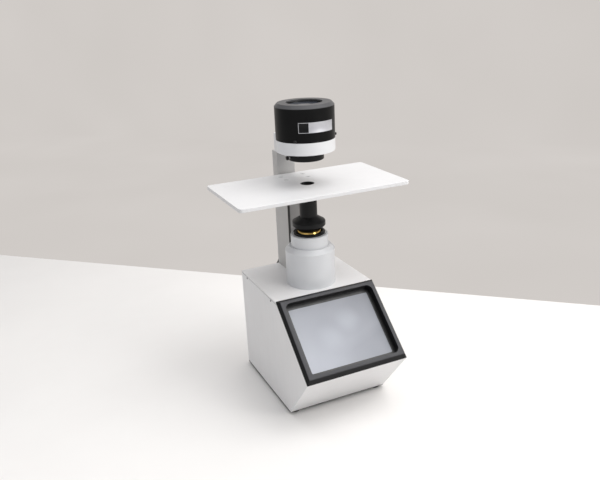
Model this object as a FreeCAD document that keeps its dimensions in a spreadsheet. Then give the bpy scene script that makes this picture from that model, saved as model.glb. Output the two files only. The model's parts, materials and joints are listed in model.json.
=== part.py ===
import FreeCAD, Part
import os
import math
import Sketcher

# Bench-top optical measuring instrument: a wedge-shaped sheet-metal base with a
# recessed touch screen, a lamp housing with a helical focusing mount on the deck,
# a rear column carrying a flat lens stage, and a sensor head over the stage.
# Millimetres.  +Z up, front of the instrument towards -Y, origin on the floor
# under the middle of the instrument.

V = FreeCAD.Vector
doc = FreeCAD.newDocument("BenchInstrument")
sheet = doc.addObject("Spreadsheet::Sheet", "Dims")

TABLE = [
    # base cabinet
    ("foot_height", 4.0), ("base_width", 210.0), ("base_height", 220.0),
    ("deck_depth", 185.0), ("nose_depth", 314.5), ("nose_height", 106.0),
    ("toe_depth", 229.0), ("sheet_gauge", 2.0), ("lip_height", 3.5),
    ("seam_gap", 0.3), ("rear_flange", 12.0), ("rear_plane", 152.0),
    # screen frame
    ("bezel_lip", 2.5), ("bezel_proud", 10.0), ("bezel_inset_side", 5.0),
    ("bezel_inset_low", 7.5), ("bezel_inset_high", 7.0), ("bezel_skirt", 8.0),
    ("window_half", 93.5), ("window_low", 13.2), ("window_high", 12.0),
    ("window_corner", 12.0), ("glass_depth", 4.8), ("glass_gauge", 1.8),
    ("view_half", 85.2), ("view_low", 20.5), ("view_high", 21.4),
    # column and stage
    ("axis_depth", 123.5), ("column_width", 38.0), ("column_depth", 65.0),
    ("column_neck", 24.0), ("column_top", 248.7), ("column_wall", 2.5),
    ("stage_level", 203.0), ("stage_gauge", 7.0), ("stage_width", 346.0),
    ("stage_depth", 189.0), ("stage_rear", 27.9), ("stage_corner", 8.0), ("stage_hole", 13.75),
    ("bracket_gauge", 4.0),
    # lamp housing and focusing mount
    ("lamp_radius", 49.3), ("lamp_step", 71.0), ("lamp_shoulder", 79.0),
    ("lamp_shoulder_radius", 41.4), ("neck_radius", 37.2), ("neck_level", 102.0),
    ("ring_radius", 31.3), ("ring_level", 107.5), ("hub_radius", 27.0),
    ("sleeve_radius", 23.0), ("tube_radius", 17.2), ("tube_bore", 12.5),
    ("flange_radius", 32.7), ("tube_level", 191.0), ("run_gap", 0.05),
    # sensor head
    ("head_radius", 56.0), ("collar_low", 268.0), ("collar_high", 291.0),
    ("cover_step", 352.5), ("cover_level", 358.0), ("cover_top_radius", 50.8),
    ("port_radius", 34.2), ("barrel_radius", 34.0), ("barrel_low", 251.5),
    ("cell_radius", 25.0), ("lock_level", 257.3),
    # lead
    ("lead_radius", 1.9),
]
for row, (alias, value) in enumerate(TABLE, 1):
    sheet.set("A%d" % row, alias)
    sheet.set("B%d" % row, str(value))
    sheet.setAlias("B%d" % row, alias)
doc.recompute()


class Dim(object):
    """A length that knows both its present value and its sheet expression."""

    def __init__(self, value, text):
        self.v = float(value)
        self.t = text

    def __add__(self, o):
        o = dim(o)
        return Dim(self.v + o.v, "(%s + %s)" % (self.t, o.t))

    def __radd__(self, o):
        return dim(o) + self

    def __sub__(self, o):
        o = dim(o)
        return Dim(self.v - o.v, "(%s - %s)" % (self.t, o.t))

    def __rsub__(self, o):
        return dim(o) - self

    def __mul__(self, o):
        o = dim(o)
        return Dim(self.v * o.v, "(%s * %s)" % (self.t, o.t))

    def __rmul__(self, o):
        return dim(o) * self

    def __truediv__(self, o):
        o = dim(o)
        return Dim(self.v / o.v, "(%s / %s)" % (self.t, o.t))

    def __neg__(self):
        return Dim(-self.v, "(0 - %s)" % self.t)


def dim(x):
    if isinstance(x, Dim):
        return x
    x = float(x)
    if x < 0:
        return Dim(x, "(0 - %.6f)" % -x)
    return Dim(x, "%.6f" % x)


def cell(alias):
    return Dim(float(sheet.get(alias)), "Dims.%s" % alias)


def root(x):
    return Dim(math.sqrt(x.v), "sqrt(%s)" % x.t)


C = {}
for alias, value in TABLE:
    C[alias] = cell(alias)

NODES = []          # (object, label) of each finished sub-part


def node(obj, label):
    obj.Label = label
    NODES.append((obj, label))
    return obj


def bind(obj, prop, value):
    obj.setExpression(prop, dim(value).t)


AXES = {"Z": None, "X": (V(0, 1, 0), 90.0), "Y": (V(1, 0, 0), -90.0),
        "-X": (V(0, 1, 0), -90.0), "-Y": (V(1, 0, 0), 90.0), "-Z": (V(1, 0, 0), 180.0)}


def place(obj, x, y, z, axis="Z"):
    if AXES[axis]:
        obj.Placement = FreeCAD.Placement(V(dim(x).v, dim(y).v, dim(z).v),
                                          FreeCAD.Rotation(AXES[axis][0], AXES[axis][1]))
    bind(obj, "Placement.Base.x", x)
    bind(obj, "Placement.Base.y", y)
    bind(obj, "Placement.Base.z", z)
    return obj


COUNT = [0]


def fresh(prefix):
    COUNT[0] += 1
    return "%s_%03d" % (prefix, COUNT[0])


def box(x0, x1, y0, y1, z0, z1):
    b = doc.addObject("Part::Box", fresh("Block"))
    bind(b, "Length", dim(x1) - x0)
    bind(b, "Width", dim(y1) - y0)
    bind(b, "Height", dim(z1) - z0)
    return place(b, x0, y0, z0)


def cyl(r, length, x, y, z, axis="Z"):
    c = doc.addObject("Part::Cylinder", fresh("Round"))
    bind(c, "Radius", r)
    bind(c, "Height", length)
    return place(c, x, y, z, axis)


def cone(r1, r2, length, x, y, z, axis="Z"):
    c = doc.addObject("Part::Cone", fresh("Taper"))
    bind(c, "Radius1", r1)
    bind(c, "Radius2", r2)
    bind(c, "Height", length)
    return place(c, x, y, z, axis)


def ball(r, x, y, z):
    s = doc.addObject("Part::Sphere", fresh("Ball"))
    bind(s, "Radius", r)
    return place(s, x, y, z)


def fuse(parts):
    if len(parts) == 1:
        return parts[0]
    f = doc.addObject("Part::MultiFuse", fresh("Union"))
    f.Shapes = parts
    f.Refine = True
    return f


def cut(base, tools):
    c = doc.addObject("Part::Cut", fresh("Cut"))
    c.Base = base
    c.Tool = fuse(tools)
    c.Refine = True
    return c


def common(parts):
    c = doc.addObject("Part::MultiCommon", fresh("Common"))
    c.Shapes = parts
    return c


def group(parts):
    c = doc.addObject("Part::Compound", fresh("Set"))
    c.Links = parts
    return c


def origin_plane(body, role):
    for o in body.Origin.OriginFeatures:
        if o.Role == role:
            return o


def sketch(body, role, pts):
    """Closed polygon, every corner dimensioned from the sketch origin."""
    sk = body.newObject("Sketcher::SketchObject", fresh("Profile"))
    sk.AttachmentSupport = [(origin_plane(body, role), "")]
    sk.MapMode = "FlatFace"
    pts = [(dim(a), dim(b)) for a, b in pts]
    n = len(pts)
    corner = [V(a.v, b.v, 0) for a, b in pts]
    sk.addGeometry([Part.LineSegment(corner[i], corner[(i + 1) % n]) for i in range(n)], False)
    cons = [Sketcher.Constraint("Coincident", i, 2, (i + 1) % n, 1) for i in range(n)]
    later = []
    for i, (a, b) in enumerate(pts):
        for kind, val, axis in (("DistanceX", a, -2), ("DistanceY", b, -1)):
            if abs(val.v) < 1e-9:
                cons.append(Sketcher.Constraint("PointOnObject", i, 1, axis))
            elif val.v > 0:
                cons.append(Sketcher.Constraint(kind, -1, 1, i, 1, val.v))
                later.append((len(cons) - 1, val.t))
            else:
                cons.append(Sketcher.Constraint(kind, i, 1, -1, 1, -val.v))
                later.append((len(cons) - 1, (-val).t))
    sk.addConstraint(cons)
    for k, text in later:
        sk.setExpression("Constraints[%d]" % k, text)
    return sk


def turned(pts, x, y, z):
    """Body of revolution about its own Z axis from (radius, height) corners."""
    body = doc.addObject("PartDesign::Body", fresh("Turned"))
    sk = sketch(body, "XZ_Plane", pts)
    rev = body.newObject("PartDesign::Revolution", fresh("Revolve"))
    rev.Profile = sk
    rev.ReferenceAxis = (sk, ["V_Axis"])
    rev.Angle = 360.0
    body.Tip = rev
    return place(body, x, y, z)


def folded(pts, width, x, y, z, pockets=()):
    """Plate-work body: a (depth, height) outline padded across the width, then
    pocketed by further outlines, each with its own width."""
    body = doc.addObject("PartDesign::Body", fresh("Folded"))
    sk = sketch(body, "YZ_Plane", pts)
    pad = body.newObject("PartDesign::Pad", fresh("Pad"))
    pad.Profile = sk
    pad.SideType = "Symmetric"
    bind(pad, "Length", width)
    body.Tip = pad
    for pp, w in pockets:
        sp = sketch(body, "YZ_Plane", pp)
        poc = body.newObject("PartDesign::Pocket", fresh("Pocket"))
        poc.Profile = sp
        poc.SideType = "Symmetric"
        poc.Type = "Length"
        bind(poc, "Length", w)
        body.Tip = poc
    return place(body, x, y, z)


def edges_where(shape, test):
    return ["Edge%d" % (i + 1) for i, e in enumerate(shape.Edges) if test(e)]


def upright(e):
    a, b = e.Vertexes[0].Point, e.Vertexes[-1].Point
    return len(e.Vertexes) == 2 and abs(a.x - b.x) < 1e-6 and abs(a.y - b.y) < 1e-6


def plate(x0, x1, y0, y1, thick, corner, at, hole=None, edge=None):
    """Flat plate drawn from above, padded up, upright corners rounded."""
    body = doc.addObject("PartDesign::Body", fresh("Plate"))
    sk = sketch(body, "XY_Plane", [(x0, y0), (x1, y0), (x1, y1), (x0, y1)])
    pad = body.newObject("PartDesign::Pad", fresh("Pad"))
    pad.Profile = sk
    bind(pad, "Length", thick)
    body.Tip = pad
    doc.recompute()
    last = pad
    if corner is not None:
        fl = body.newObject("PartDesign::Fillet", fresh("Corners"))
        fl.Base = (pad, edges_where(pad.Shape, upright))
        bind(fl, "Radius", corner)
        body.Tip = fl
        doc.recompute()
        last = fl
    if edge is not None:
        top = dim(thick).v
        names = edges_where(last.Shape, lambda e: abs(e.BoundBox.ZMin - e.BoundBox.ZMax) < 1e-6)
        fe = body.newObject("PartDesign::Fillet", fresh("Edges"))
        fe.Base = (last, names)
        bind(fe, "Radius", edge)
        body.Tip = fe
        doc.recompute()
    return place(body, *at)


# ---------------------------------------------------------------- levels
foot = C["foot_height"]
deck = foot + C["base_height"]
rear = C["rear_plane"]
ya = rear - C["axis_depth"]          # optical axis
t = C["sheet_gauge"]
bw = C["base_width"]
hw = bw * 0.5
rise = C["base_height"] - C["nose_height"]
run = C["nose_depth"] - C["deck_depth"]
slope_len = root(rise * rise + run * run)
lid_z = C["base_height"] - C["lip_height"] - C["seam_gap"]


def slope_depth(z):
    """Depth of the sloping face at a height above the cabinet's underside."""
    return C["deck_depth"] + (C["base_height"] - z) * run / rise


# ---------------------------------------------------------------- cabinet
# Welded chassis: floor, undercut front and two cheeks, open at the deck, at the
# sloping face and at the back.
back_end = C["rear_flange"] + C["seam_gap"]
under = (C["nose_depth"] - C["toe_depth"]) / C["nose_height"]
chassis = folded(
    [(-back_end, 0), (-back_end, lid_z), (-slope_depth(lid_z), lid_z),
     (-C["nose_depth"], C["nose_height"]), (-C["toe_depth"], 0)],
    bw, 0, rear, foot,
    pockets=[([(5, t), (5, C["base_height"] + 20),
               (-(C["nose_depth"] + 20), C["base_height"] + 20),
               (-(C["toe_depth"] + under * (C["nose_height"] + 20)) + t * 1.285,
                C["nose_height"] + 20),
               (-(C["toe_depth"] + under * t) + t * 1.285, t)], bw - t * 2)])
rails = []
for s in (-1, 1):
    a, b = (hw - t - 2) * s, (hw - t) * s
    lo, hi = (a, b) if s > 0 else (b, a)
    rails.append(box(lo, hi, rear - 40, rear - 2.1, foot + 10, foot + 205))
    a2, b2 = (hw - t - 12) * s, (hw - t - 1.5) * s
    lo, hi = (a2, b2) if s > 0 else (b2, a2)
    rails.append(box(lo, hi, rear - 4.1, rear - 2.1, foot + 10, foot + 205))
FOOT_X, FOOT_FRONT, FOOT_REAR = 91.0, 215.5, 24.0
feet_at = [(sx * FOOT_X, d) for sx in (-1, 1) for d in (FOOT_FRONT, FOOT_REAR)]
REAR_Z = (20.0, 105.0, 198.0)
LID_Y = (32.0, 160.0)
holes = [cyl(2.1, 6, x, rear - d, foot - 1) for x, d in feet_at]
holes += [cyl(1.5, 8, (hw - t - 7) * s, rear - 8, foot + z, "Y") for s in (-1, 1) for z in REAR_Z]
holes += [cyl(1.35, 8, (hw + 1) * s, rear - y, foot + 213.3, "-X" if s > 0 else "X")
          for s in (-1, 1) for y in LID_Y]
node(cut(fuse([chassis] + rails), holes), "chassis")

# Deck lid: top sheet with short turned-down lips and four inner tabs for the
# side screws.
lid_low = lid_z + C["seam_gap"]
lid = folded(
    [(0, lid_low), (0, C["base_height"]), (-C["deck_depth"], C["base_height"]),
     (-slope_depth(lid_low), lid_low)],
    bw, 0, rear, foot,
    pockets=[([(-t, lid_low - 2), (-t, C["base_height"] - t),
               (-(C["deck_depth"] - 1.0), C["base_height"] - t),
               (-(slope_depth(lid_low) - 2.6), lid_low - 2)], bw - t * 2)])
tabs = []
for s in (-1, 1):
    for y in LID_Y:
        a, b = (hw - t - 2.0) * s, (hw - t - 0.1) * s
        lo, hi = (a, b) if s > 0 else (b, a)
        tabs.append(box(lo, hi, rear - y - 7, rear - y + 7, foot + 208, deck - t))
LAMP_BOLTS = [(42.0 * math.cos(math.radians(q)), 42.0 * math.sin(math.radians(q)))
              for q in (45, 135, 225, 315)]
COL_BOLTS = [(x, y) for x in (-11.0, 11.0) for y in (-16.0, -51.0)]
lid_holes = [cyl(36, 8, 0, ya, deck - 6)]
lid_holes += [cyl(1.75, 8, x, ya + y, deck - 6) for x, y in LAMP_BOLTS]
lid_holes += [cyl(2.1, 8, x, rear + y, deck - 6) for x, y in COL_BOLTS]
lid_holes += [cyl(1.2, 8, (hw + 1) * s, rear - y, foot + 213.3, "-X" if s > 0 else "X")
              for s in (-1, 1) for y in LID_Y]
node(cut(fuse([lid] + tabs), lid_holes), "deck_lid")

# Rear pan: back sheet with flanges that wrap on to the cheeks and the floor.
pan = cut(box(-hw, hw, rear - C["rear_flange"], rear, foot, foot + lid_z),
          [box(-(hw - t), hw - t, rear - C["rear_flange"] - 1, rear - t, foot + t, deck)])
INLET_X, SOCKET_Z, ROCKER_Z = 62.0, 38.0, 62.0
PORT_X, PORT_Z = 8.0, 44.0
LEAD_COL = (-10.0, 32.0)      # x and height over the deck where the lead leaves the column
LEAD_PAN = (-26.0, -38.0)     # x and height over the deck where it enters the cabinet
pan_cuts = [box(INLET_X - 13.9, INLET_X + 13.9, rear - 5, rear + 1, foot + 26.1, foot + 73.9),
            box(PORT_X - 9.2, PORT_X + 9.2, rear - 5, rear + 1, foot + PORT_Z - 9.2, foot + PORT_Z + 9.2),
            cyl(4.5, 8, LEAD_PAN[0], rear - 5, deck + LEAD_PAN[1], "Y")]
for k in range(8):
    pan_cuts.append(box(-70, 70, rear - 5, rear + 1, foot + 118 + 6 * k, foot + 121 + 6 * k))
pan_cuts += [cyl(1.6, 8, (hw - t - 7) * s, rear - 6, foot + z, "Y") for s in (-1, 1) for z in REAR_Z]
node(cut(pan, pan_cuts), "rear_pan")

PANEL_SCREWS = [((hw - t - 7) * s, foot + z) for s in (-1, 1) for z in REAR_Z]
PANEL_SCREWS += [(0, deck + z + 3.5) for z in (10, 226)]
node(group([fuse([cyl(1.45, 7, x, rear - 7, z, "Y"), cone(2.8, 2.2, 1.5, x, rear, z, "Y")])
            for x, z in PANEL_SCREWS]), "panel_screws")
node(group([fuse([cyl(1.15, 6, (hw - 5) * s, rear - y, foot + 213.3, "X" if s > 0 else "-X"),
                  cone(2.1, 1.6, 0.8, hw * s, rear - y, foot + 213.3, "X" if s > 0 else "-X")])
            for s in (-1, 1) for y in LID_Y]), "lid_screws")

# Rubber feet with counterbored screws.
feet = []
foot_screws = []
for x, d in feet_at:
    feet.append(cut(cone(11.2, 12.0, foot, x, rear - d, 0),
                    [cyl(3.7, 2.6, x, rear - d, -0.1), cyl(2.1, 6, x, rear - d, -0.5)]))
    foot_screws.append(fuse([cyl(3.5, 1.4, x, rear - d, 1.1), cyl(2.0, 9, x, rear - d, 2.4)]))
node(group(feet), "feet")
node(group(foot_screws), "foot_screws")

# ---------------------------------------------------------------- screen stack
# Local frame of the sloping face: X across, Y up the slope from the nose, Z out.


slope_angle = "atan(%s / %s)" % (rise.t, run.t)
slope_deg = math.degrees(math.atan2(rise.v, run.v))


def seat(obj):
    """Put an object drawn in the local frame of the sloping face in its place."""
    obj.Placement = FreeCAD.Placement(
        V(0, (rear - C["nose_depth"]).v, (foot + C["nose_height"]).v),
        FreeCAD.Rotation(V(1, 0, 0), slope_deg))
    bind(obj, "Placement.Base.y", rear - C["nose_depth"])
    bind(obj, "Placement.Base.z", foot + C["nose_height"])
    obj.setExpression("Placement.Rotation.Angle", slope_angle)
    return obj


SL = slope_len
wedge = doc.addObject("Part::Wedge", "Bezel_Taper")
for prop, val in (("Xmin", -hw), ("Xmax", hw), ("Zmin", 0), ("Zmax", SL),
                  ("Ymin", C["bezel_lip"]), ("Ymax", C["bezel_proud"]),
                  ("X2min", -(hw - C["bezel_inset_side"])), ("X2max", hw - C["bezel_inset_side"]),
                  ("Z2min", C["bezel_inset_low"]), ("Z2max", SL - C["bezel_inset_high"])):
    bind(wedge, prop, val)
# the wedge tapers along its own Y: turned so that its Y points out of the slope and its Z up it
wedge.Placement = FreeCAD.Placement(V(0, 0, 0), FreeCAD.Rotation(V(0, 1, 1), 180))
lip = plate(-hw, hw, 0, SL, C["bezel_lip"], 1.5, (0, 0, 0))
skirt = box(-(hw - 2.3), hw - 2.3, 3, SL - 8, -C["bezel_skirt"], 0)
window = plate(-C["window_half"], C["window_half"], C["window_low"], SL - C["window_high"],
               C["bezel_proud"] + C["bezel_skirt"] + 2, C["window_corner"],
               (0, 0, -C["bezel_skirt"] - 1))
GX, GY0, GY1 = 95.5, 11.2, SL - 10
glass_bed = box(-GX - 0.1, GX + 0.1, GY0 - 0.1, GY1 + 0.1, -C["bezel_skirt"] - 1, -C["glass_depth"])
bezel = cut(fuse([wedge, lip, skirt]), [window, glass_bed])
node(seat(bezel), "screen_bezel")
gd, gt = C["glass_depth"], C["glass_gauge"]
def seat_at(obj, depth):
    """Seat an object drawn from Z = 0, sunk by a depth below the sloping face."""
    seat(obj)
    sa, ca = "sin(%s)" % slope_angle, "cos(%s)" % slope_angle
    d = dim(depth)
    obj.setExpression("Placement.Base.y", "%s + %s * %s" % ((rear - C["nose_depth"]).t, d.t, sa))
    obj.setExpression("Placement.Base.z", "%s - %s * %s" % ((foot + C["nose_height"]).t, d.t, ca))
    return obj


node(seat_at(plate(-GX, GX, GY0, GY1, gt, 1.0, (0, 0, 0)), gd + gt), "touch_glass")
mask = cut(plate(-GX, GX, GY0, GY1, 0.8, 1.0, (0, 0, 0)),
           [box(-C["view_half"], C["view_half"], C["view_low"], SL - C["view_high"], -1, 2)])
node(seat_at(mask, gd + gt + 0.8), "screen_mask")
node(seat_at(plate(-GX, GX, GY0, GY1, 8, 1.0, (0, 0, 0)), gd + gt + 8.8), "lcd_panel")
frame_w = hw - t - 0.1
dbr = cut(fuse([box(-frame_w, frame_w, 6, SL - 12, 23, 24.6),
                box(-frame_w, -frame_w + 1.5, 6, SL - 12, 0, 24.6),
                box(frame_w - 1.5, frame_w, 6, SL - 12, 0, 24.6)]),
          [box(-70, 70, 34, SL - 38, 20, 30)])
node(seat_at(dbr, gd + gt + 8.8 + 24.6), "display_bracket")

# ---------------------------------------------------------------- inside the cabinet
psu = fuse([box(18, 90, rear - 160, rear - 48, foot + t + 6, foot + t + 42)] +
           [cyl(3, 6, x, rear - y, foot + t) for x in (24, 84) for y in (54, 154)])
node(psu, "power_supply")
board = cut(fuse([box(-92, 8, rear - 196, rear - 52, foot + t + 12, foot + t + 13.6),
                  box(-66, -26, rear - 160, rear - 120, foot + t + 13.6, foot + t + 16),
                  box(-32, -20, rear - 70, rear - 58, foot + t + 13.6, foot + t + 23.6),
                  box(-88, -70, rear - 190, rear - 110, foot + t + 13.6, foot + t + 18),
                  box(-16, 2, rear - 130, rear - 80, foot + t + 13.6, foot + t + 22)]),
            [cyl(1.6, 4, x, rear - y, foot + t + 11) for x in (-86, 2) for y in (58, 190)])
node(board, "main_board")
node(group([cut(cyl(3, 12, x, rear - y, foot + t), [cyl(1.5, 8, x, rear - y, foot + t + 5)])
            for x in (-86, 2) for y in (58, 190)]), "board_standoffs")
fins = [box(-68, -24, rear - 162, rear - 118, foot + t + 16, foot + t + 19)]
for k in range(9):
    fins.append(box(-68 + 5.25 * k, -66 + 5.25 * k, rear - 162, rear - 118, foot + t + 19, foot + t + 34))
node(fuse(fins), "board_heatsink")

# Mains inlet with a rocker switch in one housing, and a two-socket data block.
ix = INLET_X
inlet = cut(fuse([box(ix - 16, ix + 16, rear, rear + 2.2, foot + 24, foot + 76),
                  box(ix - 13.7, ix + 13.7, rear - 22, rear, foot + 26.3, foot + 73.7)]),
            [box(ix - 12.2, ix + 12.2, rear - 14, rear + 3, foot + SOCKET_Z - 8, foot + SOCKET_Z + 8),
             box(ix - 8.8, ix + 8.8, rear - 12, rear + 3, foot + ROCKER_Z - 8.2, foot + ROCKER_Z + 8.2),
             cyl(1.25, 22, ix - 11, rear - 4, foot + ROCKER_Z, "X")])
node(inlet, "power_inlet")
node(group([box(x - 1, x + 1, rear - 14, rear - 6, foot + z - 2, foot + z + 2)
            for x, z in ((ix - 7, SOCKET_Z - 1.5), (ix + 7, SOCKET_Z - 1.5), (ix, SOCKET_Z + 3))]),
     "inlet_blades")
rocker_body = folded([(-4.5, -5.6), (-4.5, 5.6), (3.4, 6.6), (5.6, 6.4), (4.0, 0), (5.6, -6.4), (3.4, -6.6)],
                     17.0, 0, 0, 0)
rocker_pin = cyl(1.2, 21.4, -10.7, 0, 0, "X")
rocker = fuse([rocker_body, rocker_pin])
rocker.Placement = FreeCAD.Placement(V(ix, (rear - 4).v, (foot + ROCKER_Z).v),
                                     FreeCAD.Rotation(V(1, 0, 0), 11.0))
bind(rocker, "Placement.Base.y", rear - 4)
bind(rocker, "Placement.Base.z", foot + ROCKER_Z)
node(rocker, "power_rocker")
px, pz = PORT_X, PORT_Z
node(cut(fuse([box(px - 9, px + 9, rear - 18, rear + 0.6, foot + pz - 9, foot + pz + 9)]),
         [box(px - 7, px + 7, rear - 14, rear + 2, foot + pz + 1.4, foot + pz + 7.4),
          box(px - 7, px + 7, rear - 14, rear + 2, foot + pz - 7.4, foot + pz - 1.4)]),
     "data_ports")

# ---------------------------------------------------------------- column
cw, cd, cn, ct = C["column_width"], C["column_depth"], C["column_neck"], C["column_top"]
wall = C["column_wall"]
shelf = C["stage_level"] - C["stage_gauge"] - C["bracket_gauge"]
cover_t = 1.5
column = folded(
    [(-cover_t, 0), (-cover_t, ct), (-cn, ct), (-cn, shelf), (-cd, shelf), (-cd, 0)],
    cw, 0, rear, deck,
    pockets=[([(5, 6), (5, ct - 3), (-(cn - wall), ct - 3), (-(cn - wall), shelf - 3),
               (-(cd - wall), shelf - 3), (-(cd - wall), 6)], cw - wall * 2)])
bars = [box(-cw * 0.5 + 1, cw * 0.5 - 1, rear - 8, rear - cover_t, deck + a, deck + a + 7)
        for a in (10, 226)]
ARM_BOLTS = [(-11.0, -17.4), (11.0, -17.4)]
BRACKET_BOLTS = [(-10.0, -46.0), (10.0, -46.0)]
col_holes = [cyl(2.0, 8, x, rear + y, deck - 1) for x, y in COL_BOLTS]
col_holes += [cyl(2.1, 8, x, rear + y, deck + ct - 5) for x, y in ARM_BOLTS]
col_holes += [cyl(2.0, 8, x, rear + y, deck + shelf - 6) for x, y in BRACKET_BOLTS]
col_holes += [cyl(3.6, 8, 0, rear - 19, deck + ct - 5)]
col_holes += [cyl(1.5, 12, 0, rear - 10, deck + a + 3.5, "Y") for a in (10, 226)]
node(cut(fuse([column] + bars), col_holes), "column")
node(cut(box(-cw * 0.5, cw * 0.5, rear - cover_t, rear, deck, deck + ct),
         [cyl(4.5, 6, LEAD_COL[0], rear - 4, deck + LEAD_COL[1], "Y")] +
         [cyl(1.6, 6, 0, rear - 4, deck + a + 3.5, "Y") for a in (10, 226)]), "column_back_cover")
node(group([fuse([cyl(1.95, 7.5, x, rear + y, deck - 2), cyl(3.5, 3, x, rear + y, deck - 5)])
            for x, y in COL_BOLTS]), "column_screws")

# ---------------------------------------------------------------- stage
STAGE_BOLTS = [(sx * 24.0, d) for sx in (-1, 1) for d in (-50.0, -76.5)]
stage_low = C["stage_level"] - C["stage_gauge"]
bracket = cut(box(-34, 34, rear - 94, rear - cn - 0.5, deck + shelf, deck + stage_low),
              [cyl(2.1, 8, x, rear + y, deck + shelf - 1) for x, y in BRACKET_BOLTS] +
              [cyl(3.8, 5, x, rear + y, deck + shelf + 1.4) for x, y in BRACKET_BOLTS] +
              [cyl(2.45, 8, x, rear + y, deck + shelf - 1) for x, y in STAGE_BOLTS])
node(bracket, "stage_bracket")
node(group([fuse([cyl(1.95, 9, x, rear + y, deck + shelf - 7), cyl(3.6, 2.3, x, rear + y, deck + shelf + 1.5)])
            for x, y in BRACKET_BOLTS]), "bracket_screws")
sw = C["stage_width"] * 0.5
table = plate(-sw, sw, -(C["stage_rear"] + C["stage_depth"]), -C["stage_rear"], C["stage_gauge"],
              C["stage_corner"], (0, rear, deck + stage_low), edge=0.8)
node(cut(table, [cyl(C["stage_hole"], 20, 0, ya, deck + stage_low - 5)] +
         [cyl(2.6, 12, x, rear + y, deck + stage_low - 2) for x, y in STAGE_BOLTS] +
         [cone(2.6, 5.4, 2.9, x, rear + y, deck + C["stage_level"] - 2.8) for x, y in STAGE_BOLTS]),
     "stage_plate")
node(turned([(12.0, 0), (C["stage_hole"], 0), (C["stage_hole"], C["stage_gauge"] - 0.3), (12.0, C["stage_gauge"] - 0.3)],
            0, ya, deck + stage_low), "aperture_ring")
node(group([cut(fuse([cyl(2.4, 10.0, x, rear + y, deck + shelf + 0.2),
                      cone(2.4, 5.1, 2.7, x, rear + y, deck + C["stage_level"] - 2.8)]),
                [cyl(1.7, 2, x, rear + y, deck + C["stage_level"] - 1.6)])
            for x, y in STAGE_BOLTS]), "stage_screws")

# ---------------------------------------------------------------- lamp housing
L = C["lamp_radius"]
nk, nl = C["neck_radius"], C["neck_level"]
g = C["run_gap"]
hub, slv = C["hub_radius"], C["sleeve_radius"]
housing = turned([(36, 0), (L, 0), (L, C["lamp_step"]), (C["lamp_shoulder_radius"], C["lamp_shoulder"]),
                  (nk, C["lamp_shoulder"]), (nk, nl - 0.8), (nk - 0.8, nl), (hub + g, nl),
                  (hub + g, nl - 10), (slv + g, nl - 10), (slv + g, 82), (33.5, 82), (33.5, 75.5),
                  (38.5, 75.5), (46, 68), (46, 6), (36, 6)], 0, ya, deck)
node(cut(housing, [cyl(1.5, 7, x, ya + y, deck - 0.5) for x, y in LAMP_BOLTS] +
         [cyl(1.5, 20, 0, ya + 20, deck + 86.5, "Y")]), "lamp_housing")
node(group([fuse([cyl(1.45, 7.5, x, ya + y, deck - 2), cyl(2.8, 2.4, x, ya + y, deck - 4.4)])
            for x, y in LAMP_BOLTS]), "lamp_screws")
sink = [(0, -22), (32, -22), (32, -20)]
for k in range(4):
    b = -20 + 6 * k
    sink += [(12, b), (12, b + 4), (32, b + 4), (32, b + 6)] if k < 3 else [(12, b), (12, b + 4)]
sink += [(32, 2), (32, 6), (45.5, 6), (45.5, 10), (0, 10)]
node(turned(sink, 0, ya, deck), "lamp_heatsink")
node(fuse([cyl(18, 1.6, 0, ya, deck + 10),
           turned([(0, 11), (5, 11), (5, 12.6), (3.6, 14.4), (0, 15)], 0, ya, deck)]), "led_board")
node(turned([(21, 10), (34, 10), (34, 13), (28, 13), (28, 66), (24, 66), (24, 30), (21, 30)],
            0, ya, deck), "lens_tube")
node(cyl(23.95, 2, 0, ya, deck + 30), "diffuser")
node(turned([(21.5, 32), (23.95, 32), (23.95, 48), (21.5, 48)], 0, ya, deck), "lens_spacer")
node(common([cyl(23.95, 11, 0, ya, deck + 48), ball(40, 0, ya, deck + 18.6)]), "condenser_lens")
node(turned([(21.8, 52.15), (23.95, 52.15), (23.95, 58), (21.8, 58)], 0, ya, deck), "lens_lock_ring")
node(cyl(1.5, 16.0, 0, ya + 20.9, deck + 86.5, "Y"), "guide_pin")

# ---------------------------------------------------------------- focusing mount
rr, rl = C["ring_radius"], C["ring_level"]
node(turned([(slv + 0.1, nl - 9.8), (hub, nl - 9.8), (hub, nl + 0.15), (rr, nl + 0.15), (rr, rl - 1),
             (rr - 1, rl), (hub + 0.2, rl), (25, nl + 1), (slv + 0.1, nl + 1)], 0, ya, deck),
     "focus_ring")
tr, tl = C["tube_radius"], C["tube_level"]
sleeve = turned([(tr + g, 80), (slv, 80), (slv, 109), (slv - 0.6, 109.6), (tr + g, 109.6)], 0, ya, deck)
node(cut(sleeve, [box(-1.6, 1.6, ya + 20.4, ya + 24.5, deck + 79, deck + 91.6)]), "threaded_sleeve")
fr = C["flange_radius"]
node(turned([(tr, 84), (tr, 109.6), (slv - 1.0, 109.6), (fr - 1.4, 118.5), (fr, 120), (fr, 127.5), (fr - 1, 129),
             (tr, 138), (tr, tl), (C["tube_bore"], tl), (C["tube_bore"], 178),
             (C["tube_bore"] - 1, 178), (C["tube_bore"] - 1, 84)], 0, ya, deck), "nosepiece_tube")
node(common([cyl(C["tube_bore"] - g, 6, 0, ya, deck + 178), ball(22, 0, ya, deck + 162)]), "nosepiece_lens")
node(turned([(10.8, 181.2), (C["tube_bore"] - g, 181.2), (C["tube_bore"] - g, 187), (10.8, 187)],
            0, ya, deck), "nosepiece_lock_ring")

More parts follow.
